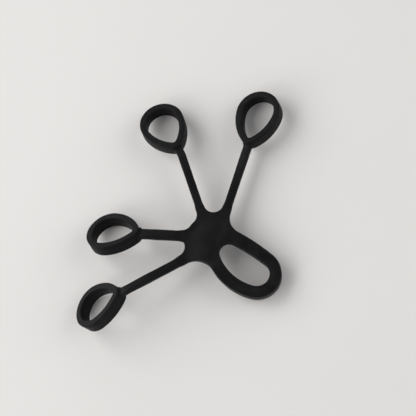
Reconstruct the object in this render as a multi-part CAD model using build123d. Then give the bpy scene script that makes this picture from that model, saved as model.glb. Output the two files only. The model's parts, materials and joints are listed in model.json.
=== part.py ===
from build123d import *
import os
from math import cos, radians, sin, sqrt

# Finger exerciser: a hand resistance band moulded in one piece of silicone rubber.
# A flat palm web carries four slim arms, each with a finger loop on its end, and one
# wide thumb loop. It is modelled in its working pose, with the arms stretched and the
# loops turned as the fingers hold them, standing on its five loops.
# Each zone where the rubber bends, twists or stretches is a node of its own.

# ---------------------------------------------------------------- driving sizes (mm)
WEB_THICKNESS = 3.5          # palm web and arms
ARM_ROUNDING = 0.77          # rounded corners of an arm's section
WEB_RADIUS = 14.5            # round core of the palm web
WEB_CENTRE = (-1.2, -0.8)
VALLEY_RADIUS = 6.0          # rounding between neighbouring arms
THUMB_VALLEY_RADIUS = 11.0   # rounding between the thumb loop and the arms beside it
BAND_HEIGHT = 8.0            # height of every loop's band, across the loop
RIM_ROUNDING = 0.5           # rounded edges of the loops' rims

LOOP_WALL = 3.9              # band thickness of a finger loop
LOOP_NECK_INSIDE = 2.0       # inside radius at the loop's narrow end
LOOP_FINGER_INSIDE = 10.0    # inside radius at the end that holds the finger
LOOP_SIDE_INSIDE = 24.0      # inside radius of the two curved sides
LOOP_SPAN = 15.9             # from one end's centre to the other's
LOOP_NECK_THICKENING = 1.6   # extra rubber between the arm and the loop's narrow end

ROOT_LENGTH = 4.0            # zone that bends sideways
KNUCKLE_LENGTH = 4.0         # zone that bends up and down
TIP_LENGTH = 5.0             # zone that twists
NECK_LENGTH = 4.0            # zone that lets the loop tip

THUMB_CENTRE = (10.0, -8.7)  # centre of the thumb loop's inner end, on the palm web
THUMB_HEADING = -38.0
THUMB_INNER_INSIDE = 5.5     # inside radius next to the palm web
THUMB_OUTER_INSIDE = 7.6     # inside radius of the bow
THUMB_UPPER_INSIDE = 120.0   # inside radius of the side towards the index finger
THUMB_LOWER_INSIDE = 30.0    # and of the other side, which the thumb pushes out
THUMB_SPAN = 22.2
THUMB_INNER_WALL = 7.6       # width of the band next to the palm web
THUMB_OUTER_WALL = 7.0       # width of the band at the bow
THUMB_ROOT_START = 3.0       # measured from THUMB_CENTRE along the thumb's direction
THUMB_ROOT_LENGTH = 4.0
THUMB_LIMB_LENGTH = 9.0
THUMB_HINGE_LENGTH = 4.0

STANCE_TILT = 7.9            # lean of the palm web on its five loops, thumb side down

# Angles in degrees, lengths in mm. bearing, beyond: where the arm leaves the web, seen
# from the web's centre, and how far outside its round core. heading: direction of the
# arm in the web's plane. rise: how far it climbs out of that plane. reach: from the web
# to the loop. twist, tip and turn: how the finger holds the loop, relative to its arm.
FINGERS = {
    "index": dict(bearing=62.7, beyond=6.65, heading=73, width=5.0, reach=40.0,
                  rise=2.2, twist=-15, tip=5, turn=1),
    "middle": dict(bearing=108.8, beyond=5.36, heading=110, width=5.0, reach=40.0,
                   rise=-1.5, twist=-1, tip=14, turn=12),
    "ring": dict(bearing=173.2, beyond=1.51, heading=177, width=6.2, reach=25.4,
                 rise=-0.5, twist=27, tip=17, turn=-11),
    "little": dict(bearing=218.2, beyond=6.86, heading=211, width=5.4, reach=39.5,
                   rise=8.1, twist=37, tip=30, turn=-29),
}

FLARE = 1.16                 # an arm is this much wider where it leaves the web


# ---------------------------------------------------------------- shape helpers
def turned_z(angle):
    """A turn about the local Z axis."""
    return Location((0, 0, 0), (0, 0, angle))


def turned_y(angle):
    """A turn about the local Y axis: positive angles tip +X downwards."""
    return Location((0, 0, 0), (0, angle, 0))


def turned_x(angle):
    """A turn about the local X axis."""
    return Location((0, 0, 0), (angle, 0, 0))


def along(distance):
    """A move along the local X axis."""
    return Location((distance, 0, 0))


def band_section(frame, width, height):
    """A section of an arm, square to the frame's X axis."""
    return frame * (Plane.YZ * RectangleRounded(width, height, ARM_ROUNDING))


def bar(start, end, width_start, width_end):
    """A length of arm from one frame to another, which may be bent or twisted."""
    first = band_section(start, width_start, WEB_THICKNESS)
    last = band_section(end, width_end, WEB_THICKNESS)
    return loft([first, last])


def side_arc(small, large, span, side):
    """The upper arc of radius side that holds both end circles of a teardrop."""
    x = ((side - small) ** 2 - (side - large) ** 2 + span ** 2) / (2 * span)
    centre = Vector(x, -sqrt((side - small) ** 2 - x ** 2))
    start = centre + (Vector(0, 0) - centre).normalized() * side
    end = centre + (Vector(span, 0) - centre).normalized() * side
    middle = centre + ((start + end) * 0.5 - centre).normalized() * side
    return start, middle, end


def teardrop(small, large, span, upper, lower):
    """A face round a small circle at the origin and a large one at (span, 0).

    Its two sides are arcs with the radii upper and lower, which run smoothly into both
    circles."""
    small_top, upper_middle, large_top = side_arc(small, large, span, upper)
    below = [Vector(p.X, -p.Y) for p in side_arc(small, large, span, lower)]
    small_bottom, lower_middle, large_bottom = below
    edges = [
        ThreePointArc(small_top, Vector(-small, 0), small_bottom),
        ThreePointArc(small_bottom, lower_middle, large_bottom),
        ThreePointArc(large_bottom, Vector(span + large, 0), large_top),
        ThreePointArc(large_top, upper_middle, small_top),
    ]
    return make_face(Wire(edges))


def loop_ring(opening, outline):
    """A closed band between an opening and an outline, lying flat, with rounded rims."""
    ring = extrude(outline - opening, BAND_HEIGHT / 2, both=True)
    return fillet(ring.edges().filter_by(Plane.XY), RIM_ROUNDING)


def finger_loop_faces():
    """The opening and the outline of a finger loop."""
    opening = teardrop(LOOP_NECK_INSIDE, LOOP_FINGER_INSIDE, LOOP_SPAN,
                       LOOP_SIDE_INSIDE, LOOP_SIDE_INSIDE)
    outline = teardrop(LOOP_NECK_INSIDE + LOOP_WALL, LOOP_FINGER_INSIDE + LOOP_WALL,
                       LOOP_SPAN, LOOP_SIDE_INSIDE + LOOP_WALL, LOOP_SIDE_INSIDE + LOOP_WALL)
    return opening, outline


def thumb_loop_faces():
    """The opening and the outline of the thumb loop."""
    side_wall = (THUMB_INNER_WALL + THUMB_OUTER_WALL) / 2
    opening = teardrop(THUMB_INNER_INSIDE, THUMB_OUTER_INSIDE, THUMB_SPAN,
                       THUMB_UPPER_INSIDE, THUMB_LOWER_INSIDE)
    outline = teardrop(THUMB_INNER_INSIDE + THUMB_INNER_WALL,
                       THUMB_OUTER_INSIDE + THUMB_OUTER_WALL, THUMB_SPAN,
                       THUMB_UPPER_INSIDE + side_wall, THUMB_LOWER_INSIDE + side_wall)
    return opening, outline


# ---------------------------------------------------------------- frames of a finger
def arm_start(finger):
    """Where a finger's arm leaves the palm web, with X along the arm."""
    bearing = radians(finger["bearing"])
    distance = WEB_RADIUS + finger["beyond"]
    x = WEB_CENTRE[0] + distance * cos(bearing)
    y = WEB_CENTRE[1] + distance * sin(bearing)
    return Location((x, y, 0)) * turned_z(finger["heading"])


def finger_frames(finger):
    """The frames along one finger, from the palm web to its loop."""
    stretch = (finger["reach"] - ROOT_LENGTH - KNUCKLE_LENGTH - TIP_LENGTH - NECK_LENGTH)
    frames = {}
    frames["root"] = arm_start(finger)
    frames["swing"] = frames["root"] * along(ROOT_LENGTH / 2)
    frames["knuckle"] = frames["root"] * along(ROOT_LENGTH)
    frames["lift_flat"] = frames["knuckle"] * along(KNUCKLE_LENGTH / 2)
    frames["lift"] = frames["lift_flat"] * turned_y(-finger["rise"])
    frames["band"] = frames["lift"] * along(KNUCKLE_LENGTH / 2)
    frames["tip"] = frames["band"] * along(stretch)
    frames["twist"] = frames["tip"] * along(TIP_LENGTH / 2)
    frames["neck"] = frames["tip"] * along(TIP_LENGTH) * turned_x(finger["twist"])
    frames["tip_pivot"] = frames["neck"] * along(NECK_LENGTH / 2)
    held = frames["tip_pivot"] * turned_y(finger["tip"]) * turned_z(finger["turn"])
    frames["loop"] = held * along(NECK_LENGTH / 2)
    inset = LOOP_NECK_THICKENING + LOOP_NECK_INSIDE + LOOP_WALL
    frames["narrow_end"] = frames["loop"] * along(inset)
    frames["finger_end"] = frames["narrow_end"] * along(LOOP_SPAN)
    return frames


def finger_nodes(name, finger):
    """The six nodes of one finger."""
    f = finger_frames(finger)
    width = finger["width"]
    wide = width * FLARE
    loop_at = f["narrow_end"]
    opening, outline = finger_loop_faces()
    ring = loop_ring(opening, outline)
    solid_loop = extrude(outline, BAND_HEIGHT / 2, both=True)
    # the neck's rubber runs on from the arm into the loop's narrow end
    into_loop = f["loop"] * along(LOOP_NECK_THICKENING + LOOP_WALL * 0.5)
    boss = bar(f["loop"], into_loop, width, width * FLARE) - loop_at * solid_loop
    return {
        name + "_arm_root": bar(f["root"], f["knuckle"], wide, width),
        name + "_arm_knuckle": bar(f["knuckle"], f["band"], width, width),
        name + "_arm_band": bar(f["band"], f["tip"], width, width),
        name + "_arm_tip": bar(f["tip"], f["neck"], width, width),
        name + "_loop_neck": bar(f["neck"], f["loop"], width, width),
        name + "_finger_loop": loop_at * ring + boss,
    }


# ---------------------------------------------------------------- palm web and thumb
def thumb_frame():
    """The thumb loop's frame: X runs from the palm web out along the thumb loop."""
    x, y = THUMB_CENTRE
    return Location((x, y, 0)) * turned_z(THUMB_HEADING)


def round_valleys(face, radius):
    """Fills every inner corner of a face up to a radius."""
    return offset(offset(face, radius), -radius)


def palm_web():
    """The flat web, with a short stub for each arm and the rounded valleys."""
    hole, thumb = [thumb_frame() * face for face in thumb_loop_faces()]
    stubs = {}
    for name, finger in FINGERS.items():
        width = finger["width"] * FLARE
        length = WEB_RADIUS
        stub = arm_start(finger) * (Pos(-length / 2, 0) * Rectangle(length, width))
        stubs[name] = stub
    core = Pos(*WEB_CENTRE) * Circle(WEB_RADIUS)
    plate = round_valleys(core + list(stubs.values()) + [thumb], VALLEY_RADIUS)
    beside_thumb = thumb + stubs["index"] + stubs["little"]
    plate += round_valleys(beside_thumb, THUMB_VALLEY_RADIUS)
    # the last valley runs on round the web's core, on the thumb's side of the little arm
    ring_side = arm_start(FINGERS["little"]) * (
        Pos(-WEB_RADIUS / 2, -WEB_RADIUS / 2) * Rectangle(WEB_RADIUS, WEB_RADIUS))
    plate += round_valleys(core + thumb + stubs["little"], THUMB_VALLEY_RADIUS) - ring_side
    plate -= hole
    return extrude(plate, WEB_THICKNESS / 2, both=True)


def slab(start, length):
    """The space across the thumb loop between two distances along it."""
    reach = 200.0
    box = Box(length, reach, reach)
    return thumb_frame() * along(start + length / 2) * box


def thumb_nodes():
    """The palm web with the inner end of the thumb loop, then the thumb loop's parts."""
    ring = thumb_frame() * loop_ring(*thumb_loop_faces())
    web = palm_web()
    root_end = THUMB_ROOT_START + THUMB_ROOT_LENGTH
    limb_end = root_end + THUMB_LIMB_LENGTH
    hinge_end = limb_end + THUMB_HINGE_LENGTH
    far = 200.0
    beyond = slab(THUMB_ROOT_START, far)
    nodes = {"palm_web": (web - beyond) + (ring - beyond)}
    spans = {
        "thumb_{}_root": (THUMB_ROOT_START, THUMB_ROOT_LENGTH),
        "thumb_{}_limb": (root_end, THUMB_LIMB_LENGTH),
        "thumb_{}_hinge": (limb_end, THUMB_HINGE_LENGTH),
    }
    for pattern, (start, length) in spans.items():
        pieces = (ring & slab(start, length)).solids()
        pieces = pieces.sort_by(Axis.Y)
        nodes[pattern.format("lower")] = pieces[0]
        nodes[pattern.format("upper")] = pieces[-1]
    nodes["thumb_bow"] = ring & slab(hinge_end, far)
    return nodes


# ---------------------------------------------------------------- the whole object
def all_nodes():
    """Every node, in the palm web's own plane."""
    nodes = thumb_nodes()
    for name, finger in FINGERS.items():
        nodes.update(finger_nodes(name, finger))
    return nodes


def stand(nodes):
    """The placement that sets the object down on its loops, centred over the origin."""
    lean = turned_y(STANCE_TILT)
    leaning = Compound([lean * node for node in nodes.values()])
    box = leaning.bounding_box()
    middle = box.center()
    return Location((-middle.X, -middle.Y, -box.min.Z)) * lean


nodes = all_nodes()
stance = stand(nodes)
os.makedirs("parts", exist_ok=True)
for node_name, shape in nodes.items():
    export_step(stance * shape, "parts/" + node_name + ".step")
print(len(nodes), "nodes; box", Compound([stance * n for n in nodes.values()]).bounding_box())
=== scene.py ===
# %% [markdown]
# # A finger exerciser in black silicone rubber
# The real object is one soft moulding: a flat palm web with four slim arms, a loop for
# each fingertip and one wide loop for the thumb. It is shown stretched and turned as a
# hand wears it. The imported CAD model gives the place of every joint, and this script
# grows a smooth skin of silicone round those places.

# %% Load the frame
import json
from math import atan2, radians, sqrt

import bmesh
import bpy
from mathutils import Matrix, Vector


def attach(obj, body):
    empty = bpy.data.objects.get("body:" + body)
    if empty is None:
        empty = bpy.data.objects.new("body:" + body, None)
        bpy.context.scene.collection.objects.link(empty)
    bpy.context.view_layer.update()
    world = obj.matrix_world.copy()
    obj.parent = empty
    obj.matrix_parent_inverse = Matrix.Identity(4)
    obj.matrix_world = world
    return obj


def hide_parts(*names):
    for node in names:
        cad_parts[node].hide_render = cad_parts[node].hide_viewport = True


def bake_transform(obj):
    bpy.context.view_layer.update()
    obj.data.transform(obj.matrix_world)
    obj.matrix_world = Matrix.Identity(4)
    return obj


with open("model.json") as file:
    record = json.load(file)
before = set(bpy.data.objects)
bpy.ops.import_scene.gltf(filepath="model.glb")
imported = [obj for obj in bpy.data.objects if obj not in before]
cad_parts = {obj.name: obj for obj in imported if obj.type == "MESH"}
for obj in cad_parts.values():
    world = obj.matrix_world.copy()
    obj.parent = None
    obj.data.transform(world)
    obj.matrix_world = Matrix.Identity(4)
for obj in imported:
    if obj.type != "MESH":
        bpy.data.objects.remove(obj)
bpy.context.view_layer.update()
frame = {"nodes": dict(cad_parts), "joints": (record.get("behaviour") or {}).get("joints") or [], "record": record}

MM = 0.001

# %% [markdown]
# ## Where everything is
# The joints and the mounting places are stored with the model, so the skin is built
# from them and not from copied numbers. A joint gives a point and an axis. A frame is a
# 4x4 matrix with X along the rubber, Y across it and Z out of its flat face.

# %% Read joints and mounts
joints = {j["name"]: j for j in frame["joints"]}
mounts = {m["name"]: m for m in frame["record"]["mounts"]}


def point_of(item):
    return Vector(item["pos_m"])


def axis_of(item):
    return Vector(item["axis"]).normalized()


def frame_from(point, along, out):
    """A frame at a point, with X along the rubber and Z near the given direction."""
    x = along.normalized()
    y = out.cross(x).normalized()
    z = x.cross(y)
    return Matrix.Translation(point) @ Matrix((x, y, z)).transposed().to_4x4()


# %% Frame of the palm web and of the thumb loop
web_out = axis_of(mounts["web_outer_face"])
web_middle = (point_of(mounts["web_outer_face"]) + point_of(mounts["web_palm_face"])) / 2
web_thickness = (point_of(mounts["web_outer_face"]) - web_middle).length * 2
web_side = Vector((0, 1, 0)).cross(web_out)
web_frame = frame_from(web_middle, web_side, web_out)

THUMB_ROOT_START = 3 * MM    # the bending zones of the thumb loop, from its inner centre
THUMB_ROOT_END = 7 * MM
THUMB_LIMB_END = 16 * MM
THUMB_HINGE_END = 20 * MM
thumb_along = axis_of(joints["thumb_loop_stretch"])
thumb_inner = point_of(joints["thumb_loop_stretch"]) - thumb_along * THUMB_ROOT_END
thumb_outer = point_of(mounts["thumb_seat"])
thumb_span = (thumb_outer - thumb_inner).length
thumb_frame = frame_from(thumb_inner, thumb_along, web_out)
print("web thickness", round(web_thickness / MM, 2), "mm; thumb loop span",
      round(thumb_span / MM, 2), "mm")

# %% [markdown]
# ## Small helpers for edit mode
# Operators work on whatever is selected, and the CAD nodes arrive selected. So every
# piece starts with everything deselected, and its faces are picked in code by place.

# %% Helpers that open, close and select
def leave_edit():
    if bpy.context.mode != "OBJECT":
        bpy.ops.object.mode_set(mode="OBJECT")


def deselect_all():
    leave_edit()
    bpy.ops.object.select_all(action="DESELECT")


def edit(obj):
    """Makes obj the only selected object and opens its mesh."""
    deselect_all()
    obj.select_set(True)
    bpy.context.view_layer.objects.active = obj
    bpy.ops.object.mode_set(mode="EDIT")
    bpy.ops.mesh.select_mode(type="FACE")


def empty_piece(name, mesh=None):
    """A new object at the origin, with no faces yet or with a mesh that it is given."""
    obj = bpy.data.objects.new(name, mesh or bpy.data.meshes.new(name))
    bpy.context.scene.collection.objects.link(obj)
    return obj


def pick(obj, kind, wanted):
    """In edit mode, selects the verts, edges or faces for which wanted(item) is true."""
    bpy.ops.mesh.select_mode(type={"verts": "VERT", "edges": "EDGE", "faces": "FACE"}[kind])
    bpy.ops.mesh.select_all(action="DESELECT")
    shape = bmesh.from_edit_mesh(obj.data)
    shape.normal_update()
    count = 0
    for item in getattr(shape, kind):
        if wanted(item):
            item.select_set(True)
            count += 1
    shape.select_flush_mode()
    bmesh.update_edit_mesh(obj.data)
    return count


def finish_skin(obj, angle=35):
    """Smooth shading that keeps the cut ends crisp, with every face pointing outwards."""
    edit(obj)
    bpy.ops.mesh.select_all(action="SELECT")
    bpy.ops.mesh.normals_make_consistent(inside=False)
    leave_edit()
    bpy.ops.object.shade_smooth_by_angle(angle=radians(angle))
    return obj


# %% [markdown]
# ## Ribs and a skin
# An arm is a slim strip with rounded corners that bends and twists. It is made like a
# boat's hull: flat ribs are set up along its path, and a skin is bridged over them. A
# plane gives each rib, a vertex bevel rounds all their corners at once, and
# bridge_edge_loops joins them in order. It beats bending a finished box, because each
# rib stands exactly where the frame says.

# %% Ribs bridged into one length of rubber
CORNER_ROUNDING = 0.77 * MM
CORNER_STEPS = 4


def ribbed(name, ribs):
    """A closed length of rubber through ribs, each (frame, width, height)."""
    obj = empty_piece(name)
    edit(obj)
    for place, width, height in ribs:
        x, y, z = (place.col[i].to_3d() for i in range(3))
        flat = Matrix((y, z, x)).transposed()
        bpy.ops.mesh.primitive_plane_add(
            size=1, location=place.to_translation(), rotation=flat.to_euler())
        bpy.ops.transform.resize(
            value=(width, height, 1),
            orient_type="GLOBAL", orient_matrix_type="GLOBAL",
            orient_matrix=flat, center_override=place.to_translation())
    bpy.ops.mesh.select_all(action="SELECT")
    bpy.ops.mesh.bevel(offset=CORNER_ROUNDING, segments=CORNER_STEPS, affect="VERTICES")
    bpy.ops.mesh.select_all(action="SELECT")
    bpy.ops.mesh.delete(type="ONLY_FACE")
    bpy.ops.mesh.select_mode(type="EDGE")
    bpy.ops.mesh.select_all(action="SELECT")
    bpy.ops.mesh.bridge_edge_loops()
    bpy.ops.mesh.select_all(action="SELECT")
    bpy.ops.mesh.fill_holes(sides=0)
    return finish_skin(obj)


# %% [markdown]
# ## The path of an arm
# An arm leaves the web flat, climbs a little at its knuckle, runs straight while it is
# stretched, and turns to face the loop. A moulding under tension twists over most of
# its length and not in one place, so the roll is spread along the arm with an easing
# curve. Each zone between two joints becomes a piece, and neighbours share one rib.

# %% Frames along an arm
ROOT_LENGTH = 4 * MM         # bends sideways
KNUCKLE_LENGTH = 4 * MM      # bends up and down
TIP_LENGTH = 5 * MM          # twists
NECK_LENGTH = 4 * MM         # tips the loop
ROLL_STARTS = 0.3            # share of the stretched length that stays untwisted


def eased(t):
    t = min(max(t, 0), 1)
    return t * t * (3 - 2 * t)


def forward(place, distance):
    return place @ Matrix.Translation((distance, 0, 0))


def rolled(place, angle):
    return place @ Matrix.Rotation(angle, 4, "X")


def between(a, b, t):
    """A frame part of the way round a smooth bend from frame a to frame b."""
    start, end = a.to_translation(), b.to_translation()
    pull = (end - start).length
    leave, arrive = a.col[0].to_3d() * pull, b.col[0].to_3d() * pull
    point = (start * (2 * t**3 - 3 * t**2 + 1) + leave * (t**3 - 2 * t**2 + t)
             + end * (3 * t**2 - 2 * t**3) + arrive * (t**3 - t**2))
    turn = a.to_quaternion().slerp(b.to_quaternion(), eased(t))
    return Matrix.Translation(point) @ turn.to_matrix().to_4x4()


def extent(node, place, axis):
    """How wide a CAD node is along one axis of a frame."""
    across = place.col[axis].to_3d()
    reach = [v.co.dot(across) for v in frame["nodes"][node].data.vertices]
    return max(reach) - min(reach)


def arm_frames(finger):
    """The frames where one finger's zones begin, from the web to the loop."""
    swing, lift = joints[finger + "_arm_swing"], joints[finger + "_arm_lift"]
    stretch, twist = joints[finger + "_arm_stretch"], joints[finger + "_arm_twist"]
    tipping, seat = joints[finger + "_loop_tip"], mounts[finger + "_finger_seat"]
    flat_run = point_of(lift) - point_of(swing)
    at = {"root": frame_from(point_of(swing), flat_run, web_out)}
    at["root"] = forward(at["root"], -ROOT_LENGTH / 2)
    at["knuckle"] = forward(at["root"], ROOT_LENGTH)
    run = axis_of(stretch)
    at["band"] = frame_from(point_of(stretch), run, run.cross(-axis_of(lift)))
    length = (point_of(twist) - point_of(stretch)).dot(run) - TIP_LENGTH / 2
    at["tip"] = forward(at["band"], length)
    facing = frame_from(point_of(twist), run, run.cross(axis_of(tipping)))
    at["neck"] = forward(facing, TIP_LENGTH / 2)
    loop_run = point_of(seat) - point_of(tipping)
    at["loop"] = forward(frame_from(point_of(tipping), loop_run, axis_of(seat)), NECK_LENGTH / 2)
    return at


# %% [markdown]
# ## The five zones of an arm
# The root is a little wider where it leaves the web. Every rib is given with its frame,
# its width and its height, and both of those are measured on the CAD solid.

# %% Ribs of an arm
FLARE = 1.16                 # widening of an arm where it leaves the web
RIB_SPACING = 0.8 * MM
FINGERS = ("index", "middle", "ring", "little")


def stations(length):
    count = max(3, round(length / RIB_SPACING))
    return [i / count for i in range(count + 1)]


def arm_ribs(finger):
    """The ribs of one arm's zones, by zone name."""
    at = arm_frames(finger)
    width = extent(finger + "_arm_band", at["band"], 1)
    height = extent(finger + "_arm_band", at["band"], 2)
    stretch = (at["tip"].to_translation() - at["band"].to_translation()).length
    whole = stretch + TIP_LENGTH
    roll = (at["band"].inverted() @ at["neck"]).to_euler().x

    def on_arm(distance):
        share = (distance / whole - ROLL_STARTS) / (1 - ROLL_STARTS)
        return rolled(forward(at["band"], distance), roll * eased(share))

    def flared(t):
        return width * (FLARE + (1 - FLARE) * eased(t))

    return at, {
        "arm_root": [(forward(at["root"], ROOT_LENGTH * t), flared(t), height)
                     for t in stations(ROOT_LENGTH)],
        "arm_knuckle": [(between(at["knuckle"], at["band"], t), width, height)
                        for t in stations(KNUCKLE_LENGTH)],
        "arm_band": [(on_arm(stretch * t), width, height) for t in stations(stretch)],
        "arm_tip": [(on_arm(stretch + TIP_LENGTH * t), width, height)
                    for t in stations(TIP_LENGTH)],
        "loop_neck": [(between(at["neck"], at["loop"], t), width, height)
                      for t in stations(NECK_LENGTH * 2)],
    }


# %% [markdown]
# ## What the mould leaves behind
# A mould has two halves, and where they meet the rubber keeps a hair-thin line at half
# its height. The material draws that line, so every piece stores how far each point is
# from the middle plane of its own rubber, in a vertex attribute that stays true when
# the piece bends.

# %% Store the distance from the mould's middle plane
def mark_height(obj, places=None):
    """Stores mould_height in millimetres: from local Z, or from the nearest frame."""
    heights = obj.data.attributes.new("mould_height", "FLOAT", "POINT")
    for i, vertex in enumerate(obj.data.vertices):
        if places is None:
            height = vertex.co.z
        else:
            near = min(places, key=lambda p: (p.to_translation() - vertex.co).length)
            height = (vertex.co - near.to_translation()).dot(near.col[2].to_3d())
        heights.data[i].value = height / MM


# %% Build the arms
ZONE_BODIES = {
    "arm_root": ("palm_web", "{}_swing"), "arm_knuckle": ("{}_swing", "{}_lift"),
    "arm_band": ("{}_lift", "{}_stretch"), "arm_tip": ("{}_stretch", "{}_twist"),
    "loop_neck": ("{}_twist", "{}_loop"),
}
pieces = {}
finger_at = {}
for finger in FINGERS:
    finger_at[finger], zones = arm_ribs(finger)
    for zone, ribs in zones.items():
        name = finger + "_" + zone
        piece = ribbed(name + "_skin", ribs)
        mark_height(piece, [place for place, _, _ in ribs])
        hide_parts(name)
        start, end = ribs[0][0].to_translation(), ribs[-1][0].to_translation()
        first, second = (body.format(finger) for body in ZONE_BODIES[zone])
        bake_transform(piece)
        pieces[name] = piece
print(len(pieces), "arm pieces, bands",
      [round(extent(f + "_arm_band", finger_at[f]["band"], 1) / MM, 1) for f in FINGERS], "mm wide")

# %% [markdown]
# ## A finger loop
# The loop is a closed band in the shape of an egg: round behind the fingertip, narrow at
# the neck, with two sides that bow outwards. One circle makes the outline. Every vertex
# looks in its own direction, so the ones that look towards the neck are shrunk to the
# neck's radius, the ones that look sideways are enlarged to the sides' radius, and each
# group is moved to its own centre. All four arcs then meet without a corner. An outer
# and an inner outline are bridged, pulled down to the band's height, and the rims get a
# narrow bevel, because moulded silicone has no sharp edge.

# %% Egg-shaped outlines
ROUND_STEPS = 96
BAND_HEIGHT = 8 * MM
RIM_ROUNDING = 0.5 * MM
RIM_STEPS = 4
RIM_TURN = 60                # degrees between two faces that meet at a rim
LONG_EDGE = 1.9 * MM         # longer edges of an outline are divided
LONG_EDGE_CUTS = 3


def side_centre(small, large, span, side):
    """The middle of the upper side arc, and the directions where that arc begins and ends."""
    x = ((side - small) ** 2 - (side - large) ** 2 + span ** 2) / (2 * span)
    y = -sqrt((side - small) ** 2 - x ** 2)
    return Vector((x, y, 0)), atan2(-y, span - x), atan2(-y, -x)


def reshape(obj, members, scale, centre, shift):
    """Scales some vertices about a centre and shifts them."""
    pick(obj, "verts", lambda v: v.index in members)
    bpy.ops.transform.resize(value=(scale,) * 3, center_override=centre)
    bpy.ops.transform.translate(value=shift)


def egg_outline(obj, small, large, span, upper, lower):
    """Adds an egg: a small arc round the origin, a large one at span, and two sides."""
    large_centre = Vector((span, 0, BAND_HEIGHT / 2))
    bpy.ops.mesh.primitive_circle_add(vertices=ROUND_STEPS, radius=large, location=large_centre)
    shape = bmesh.from_edit_mesh(obj.data)
    shape.verts.index_update()
    looks = {v.index: atan2(v.co.y, v.co.x - span) for v in shape.verts if v.select}
    above, leave_above, reach_above = side_centre(small, large, span, upper)
    below, leave_below, reach_below = side_centre(small, large, span, lower)
    below.y = -below.y
    neck = {i for i, look in looks.items() if not -reach_below <= look <= reach_above}
    above_side = {i for i, look in looks.items() if leave_above < look <= reach_above}
    below_side = {i for i, look in looks.items() if -reach_below <= look < -leave_below}
    from_large = Vector((-span, 0, 0))
    reshape(obj, neck, small / large, large_centre, from_large)
    reshape(obj, above_side, upper / large, large_centre, from_large + above)
    reshape(obj, below_side, lower / large, large_centre, from_large + below)


# %% A band between two outlines
def widened(opening, wall):
    """The egg that lies one even wall outside another."""
    small, large, span, upper, lower = opening
    return small + wall, large + wall, span, upper + wall, lower + wall


def egg_band(name, opening, outline):
    """A closed band between two eggs, each (small, large, span, upper, lower), lying flat."""
    obj = empty_piece(name)
    edit(obj)
    egg_outline(obj, *outline)
    egg_outline(obj, *opening)
    bpy.ops.mesh.select_mode(type="EDGE")
    bpy.ops.mesh.select_all(action="SELECT")
    bpy.ops.mesh.bridge_edge_loops()
    pick(obj, "edges", lambda e: e.is_boundary and e.calc_length() > LONG_EDGE)
    bpy.ops.mesh.subdivide(number_cuts=LONG_EDGE_CUTS)
    bpy.ops.mesh.select_all(action="SELECT")
    bpy.ops.mesh.extrude_region_move(TRANSFORM_OT_translate={"value": (0, 0, -BAND_HEIGHT)})
    bpy.ops.mesh.select_all(action="SELECT")
    bpy.ops.mesh.normals_make_consistent(inside=False)
    pick(obj, "edges", lambda e: e.calc_face_angle(0) > radians(RIM_TURN))
    bpy.ops.mesh.bevel(offset=RIM_ROUNDING, segments=RIM_STEPS, affect="EDGES")
    return finish_skin(obj)


# %% [markdown]
# ## The neck of a loop
# Where the slim arm meets the taller band, the rubber flares out like the bell of a
# trumpet, so that the joint does not tear. The flare is a few ribs that grow as they
# near the wall, joined to the band with a Boolean modifier.

# %% Join the flare to the band and set each loop in place
LOOP_WALL = 3.9 * MM
LOOP_NECK_INSIDE = 2.0 * MM
LOOP_SIDE_INSIDE = 24.0 * MM
LOOP_SPAN = 15.9 * MM
LOOP_NECK_THICKENING = 1.6 * MM
NECK_FLARE = 1.5 * MM
NECK_FLARE_LENGTH = 2 * MM   # where the bell has its full width
NECK_FLARE_STEPS = 5
NECK_SUNK_STEPS = 1          # further ribs that end inside the wall
LOOP_INSET = LOOP_NECK_THICKENING + LOOP_NECK_INSIDE + LOOP_WALL


def merge_solid(obj, other, operation="UNION"):
    """Joins, cuts or intersects obj with another closed solid, which is then removed."""
    deselect_all()
    bpy.context.view_layer.objects.active = obj
    obj.select_set(True)
    boolean = obj.modifiers.new("join", "BOOLEAN")
    boolean.operation = operation
    boolean.solver = "EXACT"
    boolean.object = other
    bpy.ops.object.modifier_apply(modifier="join")
    bpy.data.objects.remove(other)


def copy_of(obj, name):
    return empty_piece(name, obj.data.copy())


def set_down(obj, place):
    """Moves a finished piece from its own frame to its place, into its mesh."""
    deselect_all()
    obj.matrix_world = place
    obj.select_set(True)
    bpy.context.view_layer.objects.active = obj
    bpy.ops.object.transform_apply(location=True, rotation=True, scale=True)


loop_inside = mounts["index_finger_seat"]["dims"]["r_mm"] * MM
loop_opening = (LOOP_NECK_INSIDE, loop_inside, LOOP_SPAN, LOOP_SIDE_INSIDE, LOOP_SIDE_INSIDE)
loop_outline = widened(loop_opening, LOOP_WALL)
loop_pattern = egg_band("loop_pattern", loop_opening, loop_outline)
for finger in FINGERS:
    loop = copy_of(loop_pattern, finger + "_finger_loop_skin")
    width = extent(finger + "_arm_band", finger_at[finger]["band"], 1)
    bell = []
    for step in range(NECK_FLARE_STEPS + NECK_SUNK_STEPS + 1):
        t = step / NECK_FLARE_STEPS
        growth = NECK_FLARE * min(t, 1) ** 2
        x = -LOOP_INSET + NECK_FLARE_LENGTH * t
        bell.append((Matrix.Translation((x, 0, 0)), width + growth, web_thickness + growth))
    merge_solid(loop, ribbed("neck_bell", bell))
    mark_height(loop)
    finish_skin(loop)
    set_down(loop, forward(finger_at[finger]["loop"], LOOP_INSET))
    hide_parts(finger + "_finger_loop")
    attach(loop, finger + "_loop")
    pieces[finger + "_finger_loop"] = loop
bpy.data.objects.remove(loop_pattern)
print("finger loops of", len(pieces["index_finger_loop"].data.polygons), "faces each")

# %% [markdown]
# ## The thumb loop
# The thumb loop is the same kind of band, wider and more open, and the thumb pushes one
# of its sides further out than the other. It is modelled once, whole, and cut with bisect
# at the planes where it bends and stretches, so that all its pieces fit each other
# exactly.

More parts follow.
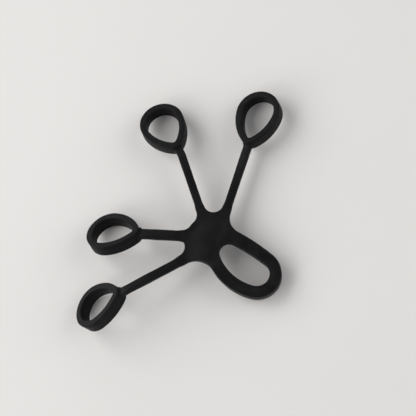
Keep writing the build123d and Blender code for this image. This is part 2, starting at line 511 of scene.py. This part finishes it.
# %% Cut the thumb loop into its zones
THUMB_INNER_INSIDE = 5.5 * MM
THUMB_INNER_WALL = 7.6 * MM
THUMB_OUTER_WALL = 7.0 * MM
THUMB_SIDE_WALL = (THUMB_INNER_WALL + THUMB_OUTER_WALL) / 2
THUMB_UPPER_INSIDE = 120 * MM
THUMB_LOWER_INSIDE = 30 * MM
thumb_outer_inside = mounts["thumb_seat"]["dims"]["r_mm"] * MM


def cut_away(obj, point, direction):
    """Removes all of obj beyond a plane and closes the cut."""
    edit(obj)
    bpy.ops.mesh.select_all(action="SELECT")
    bpy.ops.mesh.bisect(plane_co=point, plane_no=direction, use_fill=True, clear_outer=True)
    leave_edit()


def zone_of(ring, name, start, end, side):
    """The part of the ring between two distances, on one side of it or on both."""
    part = copy_of(ring, name)
    cut_away(part, (start, 0, 0), (-1, 0, 0))
    if end:
        cut_away(part, (end, 0, 0), (1, 0, 0))
    if side:
        cut_away(part, (0, 0, 0), (0, -side, 0))
    return part


thumb_opening = (THUMB_INNER_INSIDE, thumb_outer_inside, thumb_span,
                 THUMB_UPPER_INSIDE, THUMB_LOWER_INSIDE)
thumb_outline = (THUMB_INNER_INSIDE + THUMB_INNER_WALL, thumb_outer_inside + THUMB_OUTER_WALL,
                 thumb_span, THUMB_UPPER_INSIDE + THUMB_SIDE_WALL,
                 THUMB_LOWER_INSIDE + THUMB_SIDE_WALL)
thumb_ring = egg_band("thumb_ring", thumb_opening, thumb_outline)
THUMB_ZONES = {
    "root": (THUMB_ROOT_START, THUMB_ROOT_END, "palm_web", "thumb_lift"),
    "limb": (THUMB_ROOT_END, THUMB_LIMB_END, "thumb_lift", "thumb_stretch"),
    "hinge": (THUMB_LIMB_END, THUMB_HINGE_END, "thumb_stretch", "thumb_bow"),
}


def finish_thumb_piece(part, node):
    mark_height(part)
    finish_skin(part)
    set_down(part, thumb_frame)
    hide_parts(node)
    pieces[node] = part


for zone, (start, end, first, second) in THUMB_ZONES.items():
    for level, side in (("upper", 1), ("lower", -1)):
        node = "thumb_" + level + "_" + zone
        part = zone_of(thumb_ring, node + "_skin", start, end, side)
        finish_thumb_piece(part, node)
        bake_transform(part)
bow = zone_of(thumb_ring, "thumb_bow_skin", THUMB_HINGE_END, None, None)
finish_thumb_piece(bow, "thumb_bow")
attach(bow, "thumb_bow")
bpy.data.objects.remove(thumb_ring)
print(len(THUMB_ZONES) * 2 + 1, "thumb loop pieces")

# %% [markdown]
# ## The palm web
# The web is the one organic part: round valleys between the arms, and a soft ramp that
# rises to the thumb loop's taller band. Its outline comes from a copy of the CAD solid,
# laid flat. Short stubs of every arm are pulled out first, a stepped drum gives the ramp,
# and a voxel remesh melts it all into one skin, which is smoothed and then trimmed back to
# the planes where the arms begin. Sculpting by hand would give the same shape, but
# never exactly at those planes.

# %% Lay a copy of the web flat and pull out the stubs
STUB = 2.5 * MM
DOUBLES_WITHIN = 0.002 * MM
FLAT_WITHIN = 0.5            # degrees between faces that count as one
ON_SEAM = 0.05 * MM          # how close to its seam a stub's face lies
ALONG_SEAM = 0.999           # and how exactly it faces along the arm
flat = web_frame.inverted()
web = empty_piece("palm_web_skin", frame["nodes"]["palm_web"].data.copy())
web.data.transform(flat)
edit(web)
bpy.ops.mesh.select_all(action="SELECT")
bpy.ops.mesh.remove_doubles(threshold=DOUBLES_WITHIN)
bpy.ops.mesh.dissolve_limited(angle_limit=radians(FLAT_WITHIN))
leave_edit()
ramp_room = copy_of(web, "ramp_room")

seams = [(flat @ finger_at[f]["root"]) for f in FINGERS]
thumb_seam = flat @ forward(thumb_frame, THUMB_ROOT_START)
edit(web)
for seam in seams + [thumb_seam]:
    point, away = seam.to_translation(), seam.col[0].to_3d()
    found = pick(web, "faces", lambda f: f.normal.dot(away) > ALONG_SEAM
                 and abs((f.calc_center_median() - point).dot(away)) < ON_SEAM)
    bpy.ops.mesh.extrude_region_move(TRANSFORM_OT_translate={"value": away * STUB})
    print("stub from", found, "faces")
leave_edit()

# %% [markdown]
# The ramp is a drum whose two ends are pulled out and narrowed in small steps, along
# the same easing curve as the roll of the arms, up to the thumb band. Cut to the
# outline of the web, it only adds rubber where there is web underneath.

# %% Add the ramp round the thumb opening
RAMP_WIDTH = 14 * MM
RAMP_STEPS = 14
DRUM_END = 0.9               # how squarely a face of the drum's end looks along its axis
collar = THUMB_INNER_INSIDE + THUMB_INNER_WALL
collar_at = flat @ thumb_inner
DRUM_TO_WEB = 0.94           # the drum starts a little inside the web's faces
RAMP_TO_BAND = 0.97          # and ends a little below the band's rims
drum_height = web_thickness * DRUM_TO_WEB
rise = (BAND_HEIGHT * RAMP_TO_BAND - drum_height) / 2
ramp = empty_piece("ramp")
edit(ramp)
bpy.ops.mesh.primitive_cylinder_add(vertices=ROUND_STEPS, radius=collar + RAMP_WIDTH,
                                    depth=drum_height, location=collar_at)
for side in (1, -1):
    pick(ramp, "faces", lambda f: f.normal.z * side > DRUM_END)
    for step in range(RAMP_STEPS):
        climb = rise * (eased((step + 1) / RAMP_STEPS) - eased(step / RAMP_STEPS))
        shrink = RAMP_WIDTH / RAMP_STEPS
        radius = collar + RAMP_WIDTH - step * shrink
        bpy.ops.mesh.extrude_region_move(TRANSFORM_OT_translate={"value": (0, 0, side * climb)})
        narrower = (radius - shrink) / radius
        bpy.ops.transform.resize(value=(narrower, narrower, 1), center_override=collar_at)
leave_edit()
edit(ramp_room)
bpy.ops.mesh.select_all(action="SELECT")
tall = BAND_HEIGHT / web_thickness
bpy.ops.transform.resize(value=(1, 1, tall), center_override=(0, 0, 0))
leave_edit()
merge_solid(ramp, ramp_room, "INTERSECT")
print("ramp", len(ramp.data.polygons), "faces")

# %% Melt it into one skin
VOXEL = 0.3 * MM
SMOOTHING = 0.5
SMOOTHING_ROUNDS = 10
deselect_all()
ramp.select_set(True)
web.select_set(True)
bpy.context.view_layer.objects.active = web
bpy.ops.object.join()
remesh = web.modifiers.new("melt", "REMESH")
remesh.mode = "VOXEL"
remesh.voxel_size = VOXEL
bpy.ops.object.modifier_apply(modifier="melt")
smooth = web.modifiers.new("soften", "SMOOTH")
smooth.factor = SMOOTHING
smooth.iterations = SMOOTHING_ROUNDS
bpy.ops.object.modifier_apply(modifier="soften")
print("web skin", len(web.data.polygons), "faces")

# %% [markdown]
# Each stub is now trimmed back. Bisect only cuts what is selected, so only the faces
# near one stub are picked for each cut, and the open end is closed with one face.

# %% Trim the stubs back to the seams
ARM_REACH = 6 * MM           # faces within this distance belong to an arm's stub
THUMB_REACH = 20 * MM
TRIM_MARGIN = 0.6 * MM
for seam, reach in [(s, ARM_REACH) for s in seams] + [(thumb_seam, THUMB_REACH)]:
    point, away = seam.to_translation(), seam.col[0].to_3d()
    edit(web)
    pick(web, "faces", lambda f: (f.calc_center_median() - point).length < reach
         and (f.calc_center_median() - point).dot(away) > -TRIM_MARGIN)
    bpy.ops.mesh.bisect(plane_co=point, plane_no=away, use_fill=True, clear_outer=True)
    leave_edit()
mark_height(web)
finish_skin(web)
set_down(web, web_frame)
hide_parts("palm_web")
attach(web, "palm_web")
pieces["palm_web"] = web
print(len(pieces), "pieces stand for", len(frame["nodes"]), "nodes")

# %% [markdown]
# ## Black silicone
# Pigmented silicone is nearly black inside and looks a little grey outside, because the
# moulded surface is matt and picks up skin grease, lint and dust. Four effects make
# that up, each as a node group that every finish can reuse: a fine mould grain, cloudy
# wear from handling, the line where the mould closed, and settled dust.

# %% A short way to build node groups
def new_group(name, inputs, outputs):
    """A node group with number inputs {name: default} and outputs {name: socket type}."""
    group = bpy.data.node_groups.new(name, "ShaderNodeTree")
    for title, default in inputs.items():
        socket = group.interface.new_socket(title, in_out="INPUT", socket_type="NodeSocketFloat")
        socket.default_value = default
    for title, kind in outputs.items():
        group.interface.new_socket(title, in_out="OUTPUT", socket_type=kind)
    start, end = group.nodes.new("NodeGroupInput"), group.nodes.new("NodeGroupOutput")
    return group, start, end


def add_node(tree, kind, wires=None, **settings):
    """Adds a node. Settings are its properties, and wires are its inputs by name."""
    node = tree.nodes.new(kind)
    for key, value in settings.items():
        setattr(node, key, value)
    for key, value in (wires or {}).items():
        if isinstance(value, bpy.types.NodeSocket):
            tree.links.new(value, node.inputs[key])
        else:
            node.inputs[key].default_value = value
    return node


def number(tree, operation, first, second=0.0):
    """A Math node that works on two numbers or sockets."""
    return add_node(tree, "ShaderNodeMath", {0: first, 1: second}, operation=operation).outputs[0]


def mixed_color(tree, share, first, second):
    """A colour between two, each an RGB triple or a socket."""
    first, second = (c if isinstance(c, bpy.types.NodeSocket) else (*c, 1)
                     for c in (first, second))
    return add_node(tree, "ShaderNodeMix", {0: share, 6: first, 7: second},
                    data_type="RGBA").outputs[2]


def ramped(tree, value, low, high):
    """0 below low, 1 above high, and smooth in between."""
    return add_node(tree, "ShaderNodeMapRange", {"Value": value, "From Min": low, "From Max": high},
                    interpolation_type="SMOOTHSTEP").outputs["Result"]


# %% Group: mould grain
def make_grain():
    """The faint blasted texture of the mould, printed on every face."""
    group, start, end = new_group("mould_grain", {"Grain Size": 1.0}, {
        "Height": "NodeSocketFloat", "Speckle": "NodeSocketFloat"})
    place = add_node(group, "ShaderNodeTexCoord").outputs["Object"]
    per_metre = number(group, "DIVIDE", 1000.0, start.outputs["Grain Size"])
    fine = add_node(group, "ShaderNodeTexNoise", {
        "Vector": place, "Scale": per_metre, "Detail": 3.0, "Roughness": 0.6})
    pits = add_node(group, "ShaderNodeTexVoronoi", {
        "Vector": place, "Scale": number(group, "MULTIPLY", per_metre, 0.45)})
    pit = number(group, "SUBTRACT", 1.0, ramped(group, pits.outputs["Distance"], 0.0, 0.25))
    height = number(group, "SUBTRACT", fine.outputs["Fac"], number(group, "MULTIPLY", pit, 0.3))
    group.links.new(height, end.inputs["Height"])
    group.links.new(ramped(group, fine.outputs["Fac"], 0.35, 0.7), end.inputs["Speckle"])
    return group


# %% Group: cloudy wear from handling
def make_handling():
    """Soft patches where fingers have polished the rubber or left it dull."""
    group, start, end = new_group("handling_wear", {"Patch Size": 14.0}, {
        "Polished": "NodeSocketFloat", "Dull": "NodeSocketFloat"})
    place = add_node(group, "ShaderNodeTexCoord").outputs["Object"]
    per_metre = number(group, "DIVIDE", 1000.0, start.outputs["Patch Size"])
    broad = add_node(group, "ShaderNodeTexNoise", {
        "Vector": place, "Scale": per_metre, "Detail": 2.0, "Distortion": 0.6})
    small = add_node(group, "ShaderNodeTexNoise", {
        "Vector": place, "Scale": number(group, "MULTIPLY", per_metre, 5.0), "Detail": 3.0})
    mixed = number(group, "ADD", number(group, "MULTIPLY", broad.outputs["Fac"], 0.7),
                   number(group, "MULTIPLY", small.outputs["Fac"], 0.3))
    group.links.new(ramped(group, mixed, 0.42, 0.62), end.inputs["Polished"])
    group.links.new(ramped(group, mixed, 0.58, 0.40), end.inputs["Dull"])
    return group


# %% Group: the line where the mould closed
def make_mould_line():
    """A thin raised line at half height, broken where it was trimmed by hand."""
    group, start, end = new_group("mould_line", {"Half Width": 0.14}, {
        "Height": "NodeSocketFloat", "Mask": "NodeSocketFloat"})
    level = add_node(group, "ShaderNodeAttribute", attribute_name="mould_height").outputs["Fac"]
    distance = number(group, "ABSOLUTE", level)
    off_line = number(group, "DIVIDE", distance, start.outputs["Half Width"])
    line = number(group, "SUBTRACT", 1.0, ramped(group, off_line, 0.3, 1.0))
    place = add_node(group, "ShaderNodeTexCoord").outputs["Object"]
    breaks = add_node(group, "ShaderNodeTexNoise", {"Vector": place, "Scale": 220.0, "Detail": 2.0})
    left = number(group, "MULTIPLY", line, ramped(group, breaks.outputs["Fac"], 0.38, 0.52))
    group.links.new(left, end.inputs["Height"])
    group.links.new(left, end.inputs["Mask"])
    return group


# %% Group: settled dust
def make_dust():
    """Pale dust on faces that look up, in thin clouds and a few specks of lint."""
    group, start, end = new_group("settled_dust", {"Amount": 0.5}, {"Mask": "NodeSocketFloat"})
    place = add_node(group, "ShaderNodeTexCoord").outputs["Object"]
    facing = add_node(group, "ShaderNodeSeparateXYZ", {
        "Vector": add_node(group, "ShaderNodeNewGeometry").outputs["Normal"]}).outputs["Z"]
    cloud = add_node(group, "ShaderNodeTexNoise", {"Vector": place, "Scale": 130.0, "Detail": 5.0})
    specks = add_node(group, "ShaderNodeTexVoronoi", {"Vector": place, "Scale": 260.0})
    speck = ramped(group, specks.outputs["Distance"], 0.10, 0.03)
    film = number(group, "MULTIPLY", ramped(group, cloud.outputs["Fac"], 0.4, 0.75), 0.6)
    both = number(group, "MAXIMUM", film, number(group, "MULTIPLY", speck, 0.8))
    up = ramped(group, facing, 0.1, 0.9)
    amount = number(group, "MULTIPLY", number(group, "MULTIPLY", both, up), start.outputs["Amount"])
    group.links.new(amount, end.inputs["Mask"])
    return group


EFFECTS = {g.name: g for g in (make_grain(), make_handling(), make_mould_line(), make_dust())}
print("effects:", ", ".join(EFFECTS))

# %% [markdown]
# ## One rubber, three surfaces
# The same compound looks different where it is flat, stretched or curled: the web is
# handled most and dusty, a stretched arm is drawn thin and a little glossier, and the
# loops are rubbed by fingertips. One function makes all three, each with its values.

# %% The silicone finish
LINE_TONE = (0.045, 0.045, 0.05)
LINE_HEIGHT = 0.08           # in millimetres, like the grain
DUST_TONE = (0.16, 0.155, 0.15)
SILICONE_IOR = 1.42
SILICONE_SPECULAR = 0.12


def silicone(name, deep, greyed, roughness, polish, grain, dust):
    """Black silicone: deep and greyed are its two tones, roughness its plain mattness."""
    material = bpy.data.materials.new(name)
    material.use_nodes = True
    tree = material.node_tree
    shader = tree.nodes["Principled BSDF"]
    shader.inputs["IOR"].default_value = SILICONE_IOR
    shader.inputs["Specular IOR Level"].default_value = SILICONE_SPECULAR
    effect = {key: add_node(tree, "ShaderNodeGroup", node_tree=group)
              for key, group in EFFECTS.items()}
    effect["settled_dust"].inputs["Amount"].default_value = dust
    handling, line = effect["handling_wear"].outputs, effect["mould_line"].outputs
    speckle = effect["mould_grain"].outputs["Speckle"]
    tone = number(tree, "ADD", number(tree, "MULTIPLY", handling["Dull"], 0.7),
                  number(tree, "MULTIPLY", speckle, 0.3))
    rubber = mixed_color(tree, tone, deep, greyed)
    lined = mixed_color(tree, number(tree, "MULTIPLY", line["Mask"], 0.5), rubber, LINE_TONE)
    dusty = mixed_color(tree, effect["settled_dust"].outputs["Mask"], lined, DUST_TONE)
    tree.links.new(dusty, shader.inputs["Base Color"])
    gloss = number(tree, "MULTIPLY", handling["Polished"], polish)
    matt = number(tree, "ADD", number(tree, "SUBTRACT", roughness, gloss),
                  number(tree, "MULTIPLY", speckle, 0.06))
    tree.links.new(matt, shader.inputs["Roughness"])
    grain_height = number(tree, "MULTIPLY", effect["mould_grain"].outputs["Height"], grain)
    line_height = number(tree, "MULTIPLY", line["Height"], LINE_HEIGHT)
    height = number(tree, "ADD", grain_height, line_height)
    bump = add_node(tree, "ShaderNodeBump", {"Height": height, "Strength": 1.0, "Distance": MM})
    tree.links.new(bump.outputs["Normal"], shader.inputs["Normal"])
    return material


DEEP, GREYED = (0.0060, 0.0060, 0.0064), (0.0098, 0.0097, 0.0104)
web_rubber = silicone("web_silicone", DEEP, GREYED, 0.55, 0.08, 0.03, 0.04)
arm_rubber = silicone("stretched_arm_silicone", DEEP, GREYED, 0.48, 0.08, 0.02, 0.03)
loop_rubber = silicone("loop_silicone", DEEP, GREYED, 0.50, 0.10, 0.03, 0.05)

# %% Give every piece its rubber
for node, piece in pieces.items():
    if node == "palm_web":
        rubber = web_rubber
    elif "loop" in node or node == "thumb_bow":
        rubber = loop_rubber
    else:
        rubber = arm_rubber
    piece.data.materials.clear()
    piece.data.materials.append(rubber)
print("finished", len(pieces), "pieces")

# %% [markdown]
# ## Floor, light and camera
# A plain pale floor and wide soft lights keep the black rubber readable: a matt black
# body shows its form only by what it reflects, so the brightest light comes from the
# upper left and the far side is left calmer.

# %% The floor
deselect_all()
bpy.ops.mesh.primitive_grid_add(x_subdivisions=8, y_subdivisions=8, size=3)
floor = bpy.context.object
floor.name = "pale_floor"
paper = bpy.data.materials.new("pale_paper")
paper.use_nodes = True
tree = paper.node_tree
place = add_node(tree, "ShaderNodeTexCoord").outputs["Object"]
fibres = add_node(tree, "ShaderNodeTexNoise", {"Vector": place, "Scale": 9.0, "Detail": 3.0})
shade = mixed_color(tree, fibres.outputs["Fac"], (0.80, 0.778, 0.745), (0.83, 0.807, 0.773))
tree.links.new(shade, tree.nodes["Principled BSDF"].inputs["Base Color"])
tree.nodes["Principled BSDF"].inputs["Roughness"].default_value = 0.9
floor.data.materials.append(paper)

# %% The camera
CAMERA_TIP = 15.7            # degrees from the web's own facing, towards the little finger
CAMERA_TURN = 6.0            # degrees to the right
CAMERA_DISTANCE = 750 * MM
CAMERA_SHIFT = (-2.4 * MM, 18 * MM)
FIELD_WIDTH = 249.6 * MM
aim = web_frame @ Vector((3.2 * MM, -2.2 * MM, 0))
looking = (web_frame.to_3x3() @ Matrix.Rotation(radians(CAMERA_TIP), 3, "X")
           @ Matrix.Rotation(radians(CAMERA_TURN), 3, "Y"))
camera = bpy.data.objects.new("camera", bpy.data.cameras.new("camera"))
bpy.context.scene.collection.objects.link(camera)
camera.location = aim + looking @ Vector((*CAMERA_SHIFT, CAMERA_DISTANCE))
camera.rotation_euler = looking.to_euler()
camera.data.sensor_width = 36
camera.data.lens = camera.data.sensor_width * CAMERA_DISTANCE / FIELD_WIDTH
camera.data.clip_start = 0.01
bpy.context.scene.camera = camera
print("lens", round(camera.data.lens, 1), "mm")


# %% The lights
def soft_light(name, place, size, power, target=(0, 0, 0)):
    """A square area light that faces a target."""
    light = bpy.data.objects.new(name, bpy.data.lights.new(name, "AREA"))
    bpy.context.scene.collection.objects.link(light)
    light.location = place
    light.rotation_euler = (Vector(target) - Vector(place)).to_track_quat("-Z", "Y").to_euler()
    light.data.size = size
    light.data.energy = power
    return light


HORIZON_TONE, ZENITH_TONE = (0.95, 0.96, 1.0), (0.12, 0.12, 0.13)
KEY_POWER = 20
FILL_POWER = 8
soft_light("key_from_left", (-1.3, 0.5, 1.1), 1.5, KEY_POWER)
soft_light("low_fill_from_front", (-1.2, -0.9, 0.7), 1.0, FILL_POWER)
soft_light("low_fill_from_right", (1.6, 0.3, 0.8), 1.2, FILL_POWER)
world = bpy.data.worlds.new("soft_room")
world.use_nodes = True
room = world.node_tree
view_up = add_node(room, "ShaderNodeSeparateXYZ", {
    "Vector": add_node(room, "ShaderNodeTexCoord").outputs["Generated"]}).outputs["Z"]
ceiling = ramped(room, view_up, 0.35, 0.95)
sky = mixed_color(room, ceiling, HORIZON_TONE, ZENITH_TONE)
room.links.new(sky, room.nodes["Background"].inputs["Color"])
room.nodes["Background"].inputs["Strength"].default_value = 0.85
bpy.context.scene.world = world
bpy.context.scene.view_settings.view_transform = "Standard"
